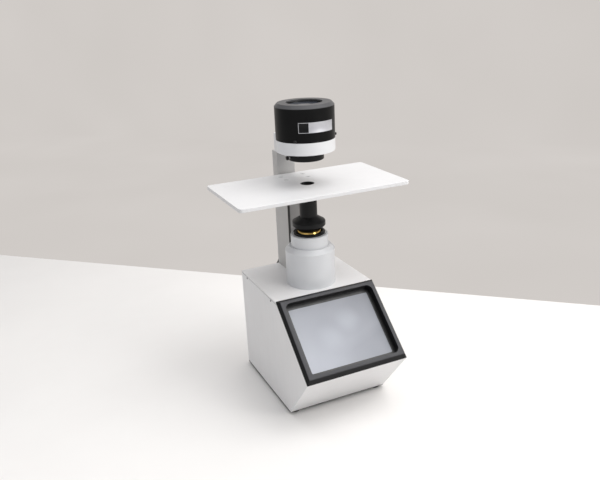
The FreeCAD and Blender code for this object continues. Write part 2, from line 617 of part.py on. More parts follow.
# ---------------------------------------------------------------- sensor head
H = C["head_radius"]
c0, c1 = C["collar_low"], C["collar_high"]
collar = turned([(30 + g, c0), (H - 0.8, c0), (H, c0 + 0.8), (H, c1), (H - 3.1, c1), (H - 3.1, c1 + 9),
                 (49.5, c1 + 9), (49.5, c0 + 4), (30 + g, c0 + 4)], 0, ya, deck)
arm = box(-cw * 0.5, cw * 0.5, ya + 51.5, rear - 13, deck + ct, deck + c1 - 5)
SCREW_Q = [math.radians(q) for q in (-134, -14, 106)]
hook = [cyl(3.4, 61, 0, ya + 45, deck + 280, "Y"), cyl(3.9, 34, 0, rear - 19, deck + ct - 1)]
hook += [cyl(1.95, 16, x, rear + y, deck + ct - 1) for x, y in ARM_BOLTS]
hook.append(ball(6, 0, rear - 21, deck + 278))


def radial(r, r0, r1, q, z):
    """Round bar pointing outwards from the optical axis at bearing q."""
    c = doc.addObject("Part::Cylinder", fresh("Radial"))
    bind(c, "Radius", r)
    bind(c, "Height", dim(r1) - r0)
    c.Placement = FreeCAD.Placement(V(dim(r0).v * math.cos(q), ya.v + dim(r0).v * math.sin(q), dim(z).v),
                                    FreeCAD.Rotation(V(0, 0, 1), V(math.cos(q), math.sin(q), 0)))
    bind(c, "Placement.Base.x", dim(r0) * math.cos(q))
    bind(c, "Placement.Base.y", ya + dim(r0) * math.sin(q))
    bind(c, "Placement.Base.z", z)
    return c


screw_z = deck + c1 + 3.6
hook += [radial(1.55, 48, 58, q, screw_z) for q in SCREW_Q]
node(cut(fuse([collar, arm]), hook), "head_collar")
node(group([fuse([cyl(1.9, 14, x, rear + y, deck + ct - 4), cyl(3.4, 3, x, rear + y, deck + ct - 6)])
            for x, y in ARM_BOLTS]), "arm_screws")
br, b0 = C["barrel_radius"], C["barrel_low"]
cr = C["cell_radius"]
barrel = turned([(cr + g, b0), (br - 0.7, b0), (br, b0 + 0.7), (br, c0), (30, c0), (30, c0 + 8),
                 (cr + g, c0 + 8)], 0, ya, deck)
lock_z = deck + C["lock_level"]
node(cut(barrel, [cyl(1.55, 14, -(cr - 2), ya, lock_z, "-X")]), "objective_barrel")
node(turned([(19 + g, b0 + 1.7), (cr, b0 + 1.7), (cr, c0 + 4), (19 + g, c0 + 4)], 0, ya, deck),
     "objective_cell")
node(common([cyl(19, 10, 0, ya, deck + 255), ball(60, 0, ya, deck + 204.1), ball(60, 0, ya, deck + 315.9)]),
     "objective_lens")
node(fuse([cyl(1.5, 13.2, -(cr + 0.25), ya, lock_z, "-X"), cyl(4.0, 3.8, -(br + 3.4), ya, lock_z, "-X")]),
     "lock_screw")
pillars = [(36.4, 21.0), (-36.4, 21.0), (0.0, -42.0)]
node(group([cyl(3, 26, x, ya + y, deck + c0 + 4) for x, y in pillars]), "sensor_standoffs")
node(cyl(46, 1.6, 0, ya, deck + c0 + 30), "sensor_board")
node(box(-12, 12, ya - 12, ya + 12, deck + c0 + 26, deck + c0 + 30), "image_sensor")
p = C["port_radius"]
s1, s2, s3 = C["cover_step"], C["cover_level"], C["cover_top_radius"]
cover = turned([(H - 3, c1), (H - 0.4, c1), (H, c1 + 0.4), (H, s1), (s3, s2), (p, s2), (p, s2 - 8),
                (31, s2 - 8), (31, s2 - 12), (p + 3, s2 - 12),
                (p + 3, s2 - 3.5), (s3 - 1.3, s2 - 3.5), (H - 3, s1 - 1.5)], 0, ya, deck)
node(cut(cover, [radial(1.7, 50, 60, q, screw_z) for q in SCREW_Q]), "head_cover")
node(group([fuse([radial(1.5, 50, H + 0.1, q, screw_z), radial(2.8, H + 0.05, H + 4.0, q, screw_z)])
            for q in SCREW_Q]), "cover_screws")
node(cyl(p - g, 3.4, 0, ya, deck + s2 - 8), "top_window")
node(turned([(p - 2.4, s2 - 4.6), (p - g, s2 - 4.6), (p - g, s2 - 2.6), (p - 2.0, s2 - 2.6)], 0, ya, deck),
     "window_ring")
node(turned([(8, c1 + 38), (H - 3.2, c1 + 38), (H - 3.2, c1 + 40), (8, c1 + 40)], 0, ya, deck),
     "light_baffle")

# Blank name plate: a thin curved strip on the front of the cover.
strip = doc.addObject("Part::Cylinder", "Plate_Outer")
bind(strip, "Radius", H + 0.5)
bind(strip, "Height", 18.8)
bind(strip, "Angle", 73.5)
strip.Placement = FreeCAD.Placement(V(0, ya.v, 0), FreeCAD.Rotation(V(0, 0, 1), -127.5))
bind(strip, "Placement.Base.y", ya)
bind(strip, "Placement.Base.z", deck + c1 + 18.5)
node(cut(strip, [cyl(H + 0.02, 30, 0, ya, deck + c1 + 15)]), "name_plate")

# ---------------------------------------------------------------- sensor lead
# From the sensor board through the arm and down the column, out through the back
# cover, and back into the cabinet through the rear pan: straight runs with
# tangent arcs.  Its radius and end levels are read from the sheet here.
lead_r = C["lead_radius"]
yr, dk, ax = rear.v, deck.v, ya.v
route = [(0, ax + 36, dk + c0.v + 30, 0), (0, ax + 36, dk + 280, 9), (0, yr - 19, dk + 280, 11),
         (0, yr - 19, dk + 105, 40), (LEAD_COL[0], yr - 19, dk + 50, 12),
         (LEAD_COL[0], yr - 17, dk + LEAD_COL[1], 8),
         (LEAD_COL[0], yr + 10.2, dk + LEAD_COL[1], 9),
         (-12.0, yr + 10.2, dk + 4, 30), (-23.0, yr + 10.2, dk - 12, 30),
         (LEAD_PAN[0], yr + 10.2, dk + LEAD_PAN[1], 9),
         (LEAD_PAN[0], yr - 22, dk + LEAD_PAN[1], 12),
         (-26, yr - 64, foot.v + 120, 30), (-26, yr - 64, foot.v + t.v + 23.6, 0)]


def tube(route, radius):
    pts = [V(*r[:3]) for r in route]
    edges = []
    start = pts[0]
    for i in range(1, len(pts) - 1):
        a = (pts[i - 1] - pts[i]).normalize()
        b = (pts[i + 1] - pts[i]).normalize()
        turn = math.pi - a.getAngle(b)
        rad = route[i][3]
        d = rad * math.tan(turn / 2)
        print("lead bend %d radius %.1f turn %.0f deg uses %.1f of %.1f / %.1f" % (
            i, rad, math.degrees(turn), d, (pts[i - 1] - pts[i]).Length, (pts[i + 1] - pts[i]).Length))
        p0, p2 = pts[i] + a * d, pts[i] + b * d
        bis = (a + b).normalize()
        centre = pts[i] + bis * (rad / math.cos(turn / 2))
        mid = centre - bis * rad
        if (p0 - start).Length > 1e-4:
            edges.append(Part.LineSegment(start, p0).toShape())
        edges.append(Part.Arc(p0, mid, p2).toShape())
        start = p2
    edges.append(Part.LineSegment(start, pts[-1]).toShape())
    wire = Part.Wire(edges)
    d0 = (pts[1] - pts[0]).normalize()
    ring = Part.Wire([Part.makeCircle(radius, pts[0], d0)])
    solid = wire.makePipeShell([ring], True, False)
    print("lead length %.1f volume ratio %.4f" % (wire.Length, solid.Volume / (math.pi * radius ** 2 * wire.Length)))
    return solid


lead = doc.addObject("Part::Feature", "Lead")
lead.Shape = tube(route, lead_r.v)
node(lead, "sensor_lead")
gr = []
for lx, lz in ((LEAD_COL[0], deck + LEAD_COL[1]), (LEAD_PAN[0], deck + LEAD_PAN[1])):
    gr.append(cut(fuse([cyl(4.4, 3.5, lx, rear - 2.3, lz, "Y"), cone(6.2, 5.2, 1.2, lx, rear, lz, "Y")]),
                  [cyl(lead_r + 0.05, 12, lx, rear - 5, lz, "Y")]))
node(group(gr), "lead_grommets")

# ---------------------------------------------------------------- check and write
doc.recompute()
bad = [o.Name + " " + o.Label + ":" + ",".join(o.State) for o in doc.Objects
       if "Invalid" in o.State or "Error" in o.State]
if bad:
    raise RuntimeError("failed objects: " + "; ".join(bad))
os.makedirs("parts", exist_ok=True)
total = None
labels = set()
for obj, label in NODES:
    shape = obj.Shape
    if shape.isNull() or not shape.isValid() or not shape.Solids:
        raise RuntimeError("bad shape in " + label)
    if obj.Label != label or label in labels:
        raise RuntimeError("label clash at " + label)
    labels.add(label)
    bb = shape.BoundBox
    if total is None:
        total = FreeCAD.BoundBox(bb)
    else:
        total.add(bb)
for obj, label in NODES:
    obj.Shape.exportStep(os.path.join("parts", label + ".step"))
    bb = obj.Shape.BoundBox
    print("%-22s solids %2d  vol %10.1f  x %7.1f %7.1f  y %7.1f %7.1f  z %7.1f %7.1f" % (
        label, len(obj.Shape.Solids), obj.Shape.Volume, bb.XMin, bb.XMax, bb.YMin, bb.YMax, bb.ZMin, bb.ZMax))
print("nodes", len(NODES))
print("overall x %.2f %.2f y %.2f %.2f z %.2f %.2f" % (
    total.XMin, total.XMax, total.YMin, total.YMax, total.ZMin, total.ZMax))
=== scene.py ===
import json
import math

import bmesh
import bpy
from mathutils import Matrix, Vector


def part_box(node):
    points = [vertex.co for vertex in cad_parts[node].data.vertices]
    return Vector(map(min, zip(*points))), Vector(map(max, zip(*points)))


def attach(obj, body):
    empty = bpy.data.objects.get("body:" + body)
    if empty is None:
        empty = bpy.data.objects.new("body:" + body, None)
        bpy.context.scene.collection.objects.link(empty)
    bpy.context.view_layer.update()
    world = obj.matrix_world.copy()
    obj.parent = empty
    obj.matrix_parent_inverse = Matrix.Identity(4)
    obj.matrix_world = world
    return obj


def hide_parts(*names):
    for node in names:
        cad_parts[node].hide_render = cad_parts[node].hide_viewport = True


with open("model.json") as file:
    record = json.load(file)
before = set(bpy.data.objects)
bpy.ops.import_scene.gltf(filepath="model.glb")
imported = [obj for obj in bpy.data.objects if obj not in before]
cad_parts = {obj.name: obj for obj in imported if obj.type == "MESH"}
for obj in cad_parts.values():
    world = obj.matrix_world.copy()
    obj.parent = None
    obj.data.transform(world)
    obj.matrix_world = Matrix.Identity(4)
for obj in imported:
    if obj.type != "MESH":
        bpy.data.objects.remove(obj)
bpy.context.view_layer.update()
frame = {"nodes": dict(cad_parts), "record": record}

NODES = frame["nodes"]
scene = bpy.context.scene


def box(name):
    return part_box(name)


# ------------------------------------------------------------------ camera
AX = Vector((0.0, 0.5 * (box("lamp_housing")[0].y + box("lamp_housing")[1].y), 0.0))   # optical axis
DECK = box("lamp_housing")[0].z
REAR = box("rear_pan")[1].y

YAW, PITCH, ROLL = 0.42047, -0.36639, -0.04568
FOCAL, PPX, PPY = 663.59984, 301.39638, 254.49558
fwd = Vector((math.sin(YAW) * math.cos(PITCH), math.cos(YAW) * math.cos(PITCH), math.sin(PITCH)))
side = Vector((math.cos(YAW), -math.sin(YAW), 0.0))
up = side.cross(fwd)
right = math.cos(ROLL) * side + math.sin(ROLL) * up
over = -math.sin(ROLL) * side + math.cos(ROLL) * up
cam_data = bpy.data.cameras.new("Camera")
cam = bpy.data.objects.new("Camera", cam_data)
scene.collection.objects.link(cam)
cam.matrix_world = Matrix(((right.x, over.x, -fwd.x, -0.5229055),
                           (right.y, over.y, -fwd.y, -1.24985765 + 0.152),
                           (right.z, over.z, -fwd.z, 0.75321233 + 0.004),
                           (0, 0, 0, 1)))
cam_data.sensor_width = 36.0
cam_data.lens = FOCAL / 600.0 * 36.0
cam_data.shift_x = -(PPX - 300.0) / 600.0
cam_data.shift_y = (PPY - 240.0) / 600.0
cam_data.clip_start = 0.02
cam_data.clip_end = 30.0
cam_data.dof.use_dof = False
scene.camera = cam


# ------------------------------------------------------------------ materials
def new_tree(name):
    m = bpy.data.materials.new(name)
    m.use_nodes = True
    nt = m.node_tree
    for n in list(nt.nodes):
        nt.nodes.remove(n)
    out = nt.nodes.new("ShaderNodeOutputMaterial")
    bsdf = nt.nodes.new("ShaderNodeBsdfPrincipled")
    nt.links.new(bsdf.outputs["BSDF"], out.inputs["Surface"])
    return m, nt, bsdf


def link(nt, a, b):
    nt.links.new(a, b)


def coords(nt, scale=(1, 1, 1), rot=(0, 0, 0), loc=(0, 0, 0)):
    tc = nt.nodes.new("ShaderNodeTexCoord")
    mp = nt.nodes.new("ShaderNodeMapping")
    mp.inputs["Scale"].default_value = scale
    mp.inputs["Rotation"].default_value = rot
    mp.inputs["Location"].default_value = loc
    link(nt, tc.outputs["Object"], mp.inputs["Vector"])
    return mp.outputs["Vector"]


def noise(nt, vec, scale, detail=3.0, rough=0.55, distort=0.0):
    n = nt.nodes.new("ShaderNodeTexNoise")
    n.inputs["Scale"].default_value = scale
    n.inputs["Detail"].default_value = detail
    n.inputs["Roughness"].default_value = rough
    n.inputs["Distortion"].default_value = distort
    link(nt, vec, n.inputs["Vector"])
    return n.outputs["Fac"]


def span(nt, fac, lo, hi, a=0.3, b=0.7):
    n = nt.nodes.new("ShaderNodeMapRange")
    n.inputs["From Min"].default_value = a
    n.inputs["From Max"].default_value = b
    n.inputs["To Min"].default_value = lo
    n.inputs["To Max"].default_value = hi
    link(nt, fac, n.inputs["Value"])
    return n.outputs["Result"]


def mix(nt, fac, c1, c2):
    n = nt.nodes.new("ShaderNodeMix")
    n.data_type = "RGBA"
    for sock, val in ((n.inputs[6], c1), (n.inputs[7], c2)):
        if isinstance(val, tuple):
            sock.default_value = val if len(val) == 4 else (*val, 1.0)
        else:
            link(nt, val, sock)
    if isinstance(fac, float):
        n.inputs[0].default_value = fac
    else:
        link(nt, fac, n.inputs[0])
    return n.outputs[2]


def math2(nt, op, a, b=None):
    n = nt.nodes.new("ShaderNodeMath")
    n.operation = op
    for i, v in enumerate((a, b)):
        if v is None:
            continue
        if isinstance(v, (int, float)):
            n.inputs[i].default_value = v
        else:
            link(nt, v, n.inputs[i])
    return n.outputs[0]


def bump(nt, bsdf, height, strength, distance, prev=None):
    n = nt.nodes.new("ShaderNodeBump")
    n.inputs["Strength"].default_value = strength
    n.inputs["Distance"].default_value = distance
    link(nt, height, n.inputs["Height"])
    if prev is not None:
        link(nt, prev, n.inputs["Normal"])
    link(nt, n.outputs["Normal"], bsdf.inputs["Normal"])
    return n.outputs["Normal"]


def shade(c, k):
    return tuple(min(1.0, v * k) for v in c)


def surface(name, color, rough=0.5, metal=0.0, coat=0.0, coat_rough=0.1, spec=0.5, ior=1.5,
            mottle=0.03, mottle_scale=14.0, grain_scale=900.0, grain=0.15, grain_depth=0.00008,
            rough_var=0.06, streak=None, streak_depth=0.00003, streak_color=0.0, aniso=0.0, sheen=0.0):
    """Painted, anodised, moulded or bare metal: mottled colour, uneven roughness and
    fine grain; streak=(sx, sy, sz) adds directional brushing or turning lines."""
    m, nt, b = new_tree(name)
    v = coords(nt)
    col = mix(nt, span(nt, noise(nt, v, mottle_scale, 4.0), 0.0, 1.0), shade(color, 1.0 - mottle), shade(color, 1.0 + mottle))
    fine = noise(nt, v, grain_scale, 2.0, 0.6)
    rv = span(nt, noise(nt, v, mottle_scale * 3.0, 5.0, 0.65), rough - rough_var, rough + rough_var)
    link(nt, rv, b.inputs["Roughness"])
    nrm = bump(nt, b, fine, grain, grain_depth)
    if streak:
        sv = coords(nt, scale=streak)
        lines = noise(nt, sv, 1.0, 4.0, 0.7)
        nrm = bump(nt, b, lines, 0.35, streak_depth, nrm)
        if streak_color:
            col = mix(nt, span(nt, lines, 0.0, streak_color), col, shade(color, 0.72))
    link(nt, col, b.inputs["Base Color"])
    b.inputs["Metallic"].default_value = metal
    b.inputs["Coat Weight"].default_value = coat
    b.inputs["Coat Roughness"].default_value = coat_rough
    b.inputs["Specular IOR Level"].default_value = spec
    b.inputs["IOR"].default_value = ior
    if aniso:
        b.inputs["Anisotropic"].default_value = aniso
    if sheen:
        b.inputs["Sheen Weight"].default_value = sheen
    m.diffuse_color = (*color, 1.0)
    return m


def lens_glass(name, tint, inner):
    """Coated lens seen against a dark barrel: near-black body with a coloured bloom painted into the base colour by
    facing angle, a painted coating reflection.
    """
    m, nt, b = new_tree(name)
    v = coords(nt)
    lw = nt.nodes.new("ShaderNodeLayerWeight")
    lw.inputs["Blend"].default_value = 0.35
    f = span(nt, lw.outputs["Facing"], 0.0, 1.0, 0.0, 1.0)
    cloud = span(nt, noise(nt, v, 40.0, 2.0), 0.75, 1.0)
    # painted reflection: the coating tint grows towards grazing angles
    c = mix(nt, f, inner, tint)
    c2 = mix(nt, cloud, shade(inner, 0.8), c)
    link(nt, c2, b.inputs["Base Color"])
    link(nt, span(nt, noise(nt, v, 260.0, 3.0), 0.02, 0.06), b.inputs["Roughness"])
    b.inputs["Coat Weight"].default_value = 1.0
    b.inputs["Coat Roughness"].default_value = 0.02
    b.inputs["IOR"].default_value = 1.55
    b.inputs["Specular IOR Level"].default_value = 0.8
    return m


def screen_glass(name):
    """Etched touch glass over an unlit display inside a black printed border; its pale tone, with a broad
    band, a darker corner and two clouds, is a painted reflection of the room.  Drawn in the slope's own axes: X across,
    Y up the slope."""
    m, nt, b = new_tree(name)
    lo, hi = box("touch_glass")
    ang = math.atan2(114.0, 129.5)
    nose = Vector((0.0, REAR - 0.3145, 0.110))
    tc = nt.nodes.new("ShaderNodeTexCoord")
    mp = nt.nodes.new("ShaderNodeMapping")
    mp.vector_type = "TEXTURE"
    mp.inputs["Location"].default_value = nose
    mp.inputs["Rotation"].default_value = (ang, 0, 0)
    link(nt, tc.outputs["Object"], mp.inputs["Vector"])
    sp = nt.nodes.new("ShaderNodeSeparateXYZ")
    link(nt, mp.outputs["Vector"], sp.inputs["Vector"])
    x = math2(nt, "ABSOLUTE", sp.outputs["X"])
    y = math2(nt, "ABSOLUTE", math2(nt, "SUBTRACT", sp.outputs["Y"], 0.0858))
    dx = math2(nt, "SUBTRACT", x, 0.0852 - 0.002)
    dy = math2(nt, "SUBTRACT", y, 0.0653 - 0.002)
    dx = math2(nt, "MAXIMUM", dx, 0.0)
    dy = math2(nt, "MAXIMUM", dy, 0.0)
    d = math2(nt, "SQRT", math2(nt, "ADD", math2(nt, "MULTIPLY", dx, dx), math2(nt, "MULTIPLY", dy, dy)))
    edge = span(nt, d, 0.0, 1.0, 0.0019, 0.0023)
    v = mp.outputs["Vector"]
    cloud = noise(nt, v, 9.0, 1.5, 0.4, 0.4)
    # painted reflection: a broad pale band up the slope from the near left corner, fading to the right
    painted_glare = math2(nt, "ADD", math2(nt, "MULTIPLY", sp.outputs["X"], -2.0),
                 math2(nt, "MULTIPLY", math2(nt, "SUBTRACT", sp.outputs["Y"], 0.0858), -3.4))
    # painted reflection, darker: the corner at the lower right, with a soft border
    lowx = span(nt, sp.outputs["X"], 0.0, 1.0, -0.014, 0.014)
    rise = math2(nt, "ADD", math2(nt, "MULTIPLY", sp.outputs["X"], 0.326), 0.0512)
    lowy = span(nt, math2(nt, "SUBTRACT", rise, sp.outputs["Y"]), 0.0, 1.0, -0.010, 0.010)
    painted_glare = math2(nt, "SUBTRACT", painted_glare, math2(nt, "MULTIPLY", math2(nt, "MULTIPLY", lowx, lowy), 0.12))
    # two pale clouds of painted reflection
    for cx, cy, cr, amp in ((0.023, 0.107, 0.034, 0.20), (-0.024, 0.078, 0.036, 0.12)):
        ex = math2(nt, "SUBTRACT", sp.outputs["X"], cx)
        ey = math2(nt, "SUBTRACT", sp.outputs["Y"], cy)
        rr = math2(nt, "SQRT", math2(nt, "ADD", math2(nt, "MULTIPLY", ex, ex), math2(nt, "MULTIPLY", ey, ey)))
        sm = nt.nodes.new("ShaderNodeMapRange")
        sm.interpolation_type = "SMOOTHSTEP"
        sm.inputs["From Min"].default_value = cr
        sm.inputs["From Max"].default_value = 0.004
        sm.inputs["To Max"].default_value = amp
        link(nt, rr, sm.inputs["Value"])
        painted_glare = math2(nt, "ADD", painted_glare, sm.outputs["Result"])
    tone = math2(nt, "ADD", painted_glare, math2(nt, "MULTIPLY", math2(nt, "SUBTRACT", cloud, 0.5), 0.35))
    face = mix(nt, span(nt, tone, 0.0, 1.0, -0.5, 0.5), (0.128, 0.136, 0.160), (0.425, 0.444, 0.502))
    col = mix(nt, edge, face, (0.006, 0.006, 0.007))
    link(nt, col, b.inputs["Base Color"])
    link(nt, span(nt, noise(nt, v, 45.0, 4.0, 0.6), 0.30, 0.42), b.inputs["Roughness"])
    bump(nt, b, noise(nt, v, 2600.0, 2.0), 0.08, 0.00002)
    b.inputs["Coat Weight"].default_value = 0.08
    b.inputs["Coat Roughness"].default_value = 0.2
    b.inputs["IOR"].default_value = 1.5
    return m


M = {}
M["shell_white"] = surface("shell_white", (0.75, 0.745, 0.75), 0.42, spec=0.5, mottle=0.018, grain_scale=1500, grain=0.18,
                           grain_depth=0.00005, streak=(260.0, 260.0, 3.5), streak_depth=0.00002, streak_color=0.10)
M["stage_white"] = surface("stage_white", (0.68, 0.68, 0.69), 0.38, spec=0.5, mottle=0.012, grain_scale=1300, grain=0.12,
                           grain_depth=0.00004, coat=0.15, coat_rough=0.3)
M["column_white"] = surface("column_white", (0.46, 0.452, 0.444), 0.45, mottle=0.02, grain_scale=1400, grain=0.15, grain_depth=0.00005)
M["collar_white"] = surface("collar_white", (0.71, 0.715, 0.73), 0.35, mottle=0.015, coat=0.2, coat_rough=0.25,
                            grain_scale=1500, grain=0.1, grain_depth=0.00004, streak=(8.0, 8.0, 900.0), streak_depth=0.00001)
M["housing_white"] = surface("housing_white", (0.64, 0.65, 0.67), 0.38, mottle=0.015, coat=0.15, coat_rough=0.3,
                             grain_scale=1500, grain=0.1, grain_depth=0.00004, streak=(10.0, 10.0, 700.0), streak_depth=0.000015)
M["anodised_black"] = surface("anodised_black", (0.0036, 0.0036, 0.0038), 0.34, metal=0.0, spec=0.22, mottle=0.12,
                              grain_scale=1700, grain=0.25, grain_depth=0.00004, streak=(8.0, 8.0, 1100.0), streak_depth=0.00002)
M["cover_black"] = surface("cover_black", (0.0036, 0.0036, 0.0038), 0.36, spec=0.14, mottle=0.12, grain_scale=1500, grain=0.3,
                           grain_depth=0.00005, streak=(6.0, 6.0, 800.0), streak_depth=0.000015)
M["bezel_black"] = surface("bezel_black", (0.0050, 0.0050, 0.0056), 0.40, spec=0.25, mottle=0.10, grain_scale=1300, grain=0.35,
                           grain_depth=0.00006, rough_var=0.05)
M["touch_glass"] = screen_glass("touch_glass")
M["panel_black"] = surface("panel_black", (0.012, 0.012, 0.012), 0.6)
M["display_grey"] = surface("display_grey", (0.35, 0.37, 0.40), 0.4)
M["zinc_steel"] = surface("zinc_steel", (0.56, 0.56, 0.57), 0.32, metal=1.0, mottle=0.06, grain=0.2, grain_depth=0.00003)
M["screw_black"] = surface("screw_black", (0.03, 0.03, 0.03), 0.30, metal=0.6, mottle=0.10, grain=0.2, grain_depth=0.00003)
M["bright_steel"] = surface("bright_steel", (0.72, 0.71, 0.70), 0.20, metal=1.0, mottle=0.05, grain=0.15, grain_depth=0.00002)
M["brass"] = surface("brass", (0.66, 0.44, 0.14), 0.16, metal=1.0, mottle=0.10, mottle_scale=60, grain=0.12,
                     grain_depth=0.00002, streak=(8.0, 8.0, 1300.0), streak_depth=0.00003)
M["optical_glass"] = lens_glass("optical_glass", (0.11, 0.125, 0.16), (0.010, 0.012, 0.018))
M["opal_glass"] = surface("opal_glass", (0.78, 0.78, 0.76), 0.5, mottle=0.01)
M["rubber_black"] = surface("rubber_black", (0.014, 0.014, 0.014), 0.75, mottle=0.15, grain_scale=800, grain=0.4, grain_depth=0.0001)
M["circuit_green"] = surface("circuit_green", (0.015, 0.10, 0.04), 0.35, mottle=0.35, mottle_scale=120, coat=0.4)
M["inlet_black"] = surface("inlet_black", (0.014, 0.014, 0.015), 0.38, mottle=0.10, grain_scale=1600, grain=0.3, grain_depth=0.00005)
M["plain_aluminium"] = surface("plain_aluminium", (0.60, 0.61, 0.62), 0.34, metal=1.0, mottle=0.05, streak=(3.0, 500.0, 500.0))
M["cable_black"] = surface("cable_black", (0.012, 0.012, 0.012), 0.48, mottle=0.15, grain_scale=1200, grain=0.35, grain_depth=0.00005)
M["plate_silver"] = surface("plate_silver", (0.50, 0.50, 0.53), 0.40, metal=0.35, mottle=0.05, mottle_scale=80,
                            streak=(40.0, 40.0, 2200.0), streak_depth=0.00001)
M["plate_black"] = surface("plate_black", (0.0045, 0.0045, 0.005), 0.42, spec=0.2, mottle=0.1)
M["sensor_dark"] = surface("sensor_dark", (0.02, 0.02, 0.03), 0.25, mottle=0.1)
M["socket_blue"] = surface("socket_blue", (0.02, 0.09, 0.42), 0.35, mottle=0.08)



def by_height(mat, z0, z1, lift):
    """Paints light or shade into a material: multiplies its base colour by lift between two heights."""
    nt = mat.node_tree
    b = next(n for n in nt.nodes if n.type == "BSDF_PRINCIPLED")
    src = b.inputs["Base Color"].links[0].from_socket
    tc = nt.nodes.new("ShaderNodeTexCoord")
    sp = nt.nodes.new("ShaderNodeSeparateXYZ")
    link(nt, tc.outputs["Object"], sp.inputs["Vector"])
    up_ = span(nt, sp.outputs["Z"], 0.0, 1.0, z0 - 0.0001, z0 + 0.0001)
    dn_ = span(nt, sp.outputs["Z"], 1.0, 0.0, z1 - 0.0001, z1 + 0.0001)
    m = math2(nt, "MULTIPLY", up_, dn_)
    n = nt.nodes.new("ShaderNodeMix")
    n.data_type = "RGBA"
    link(nt, m, n.inputs[0])
    link(nt, src, n.inputs[6])
    vm = nt.nodes.new("ShaderNodeVectorMath")
    vm.operation = "SCALE"
    link(nt, src, vm.inputs[0])
    vm.inputs["Scale"].default_value = lift
    link(nt, vm.outputs[0], n.inputs[7])
    link(nt, n.outputs[2], b.inputs["Base Color"])


M["side_steel"] = surface("side_steel", (0.26, 0.26, 0.27), 0.34, metal=1.0, mottle=0.06, grain=0.2, grain_depth=0.00003)
M["stage_steel"] = surface("stage_steel", (0.52, 0.52, 0.53), 0.42, mottle=0.02, grain=0.2, grain_depth=0.00003)
# painted reflection: the top of the black head cover is lightened 22-fold as if it caught the sky light
by_height(M["cover_black"], DECK + 0.3515, 2.0, 22.0)
# painted shade in the deck-lid seam: a thin dark line on the white shell
by_height(M["shell_white"], 0.2198, 0.2209, 0.42)
# painted shade: the white shell's underside and lowest 6.4 mm nearly black, as in the shadow under the box
by_height(M["shell_white"], -1.0, 0.0064, 0.04)


def paint_bezel_highlight(mat, lift):
    """Paints a highlight into the bezel's flat outer face, which lies on the slope's own plane: that face is lightened
    as if it caught the light.
    """
    nt = mat.node_tree
    b = next(n for n in nt.nodes if n.type == "BSDF_PRINCIPLED")
    src = b.inputs["Base Color"].links[0].from_socket
    ang_ = math.atan2(114.0, 129.5)
    nrm = Vector((0.0, -math.sin(ang_), math.cos(ang_)))
    top_ = max(v.co.dot(nrm) for v in NODES["screen_bezel"].data.vertices)
    tc = nt.nodes.new("ShaderNodeTexCoord")
    dt = nt.nodes.new("ShaderNodeVectorMath")
    dt.operation = "DOT_PRODUCT"
    link(nt, tc.outputs["Object"], dt.inputs[0])
    dt.inputs[1].default_value = nrm
    f = span(nt, dt.outputs["Value"], 0.0, 1.0, top_ - 0.0014, top_ - 0.0008)
    vm = nt.nodes.new("ShaderNodeVectorMath")
    vm.operation = "SCALE"
    link(nt, src, vm.inputs[0])
    vm.inputs["Scale"].default_value = lift
    link(nt, mix(nt, f, src, vm.outputs[0]), b.inputs["Base Color"])


def paint_seam_shade(mat):
    """Painted shade in the shadowed joints of the column: the slit beside its front plate, and the
    joint just above the stage."""
    nt = mat.node_tree
    b = next(n for n in nt.nodes if n.type == "BSDF_PRINCIPLED")
    src = b.inputs["Base Color"].links[0].from_socket
    lo, hi = box("column")
    tc = nt.nodes.new("ShaderNodeTexCoord")
    sp = nt.nodes.new("ShaderNodeSeparateXYZ")
    link(nt, tc.outputs["Object"], sp.inputs["Vector"])
    stage_top = box("stage_plate")[1].z
    front = span(nt, sp.outputs["Y"], 1.0, 0.0, COL_FRONT + 0.0006, COL_FRONT + 0.0012)
    slit = math2(nt, "MULTIPLY", span(nt, sp.outputs["X"], 1.0, 0.0, lo.x + 0.0044, lo.x + 0.0052),
                 span(nt, sp.outputs["Z"], 1.0, 0.0, stage_top - 0.012, stage_top - 0.010))
    joint = math2(nt, "MULTIPLY", span(nt, sp.outputs["Z"], 0.0, 1.0, stage_top - 0.0005, stage_top),
                  span(nt, sp.outputs["Z"], 1.0, 0.0, stage_top + 0.0050, stage_top + 0.0064))
    f = math2(nt, "MULTIPLY", front, math2(nt, "MAXIMUM", slit, joint))
    vm = nt.nodes.new("ShaderNodeVectorMath")
    vm.operation = "SCALE"
    link(nt, src, vm.inputs[0])
    vm.inputs["Scale"].default_value = 0.16
    link(nt, mix(nt, f, src, vm.outputs[0]), b.inputs["Base Color"])


COL_FRONT = min(v.co.y for v in NODES["column"].data.vertices if v.co.z > DECK + 0.02)
# painted highlight on the bezel's flat outer face
paint_bezel_highlight(M["bezel_black"], 9.0)
# painted shade in the column's joints
paint_seam_shade(M["column_white"])

SLOT_OF = {sp["node"]: sp.get("material_slot") or sp.get("slot") for sp in frame["record"]["subparts"]}


def paint(obj, mat):
    obj.data.materials.clear()
    obj.data.materials.append(mat)
    for p in obj.data.polygons:
        p.material_index = 0


for name, obj in NODES.items():
    paint(obj, M[SLOT_OF[name]])
paint(NODES["power_supply"], M["plain_aluminium"])


def soften(name, width, angle=33.0, segments=3):
    """Breaks the sharp edges of a carried-over node with a small rounded bevel."""
    o = NODES[name]
    at = o.data.attributes.get("custom_normal")
    if at is not None:
        o.data.attributes.remove(at)
    for p in o.data.polygons:
        p.use_smooth = True
    w = o.modifiers.new("weld", "WELD")
    w.merge_threshold = 0.000002
    d = o.modifiers.new("planar", "DECIMATE")
    d.decimate_type = "DISSOLVE"
    d.angle_limit = math.radians(0.4)
    b = o.modifiers.new("bevel", "BEVEL")
    b.width = width
    b.segments = segments
    b.limit_method = "ANGLE"
    b.angle_limit = math.radians(angle)
    b.harden_normals = True
    b.use_clamp_overlap = True
    b.miter_outer = "MITER_ARC"


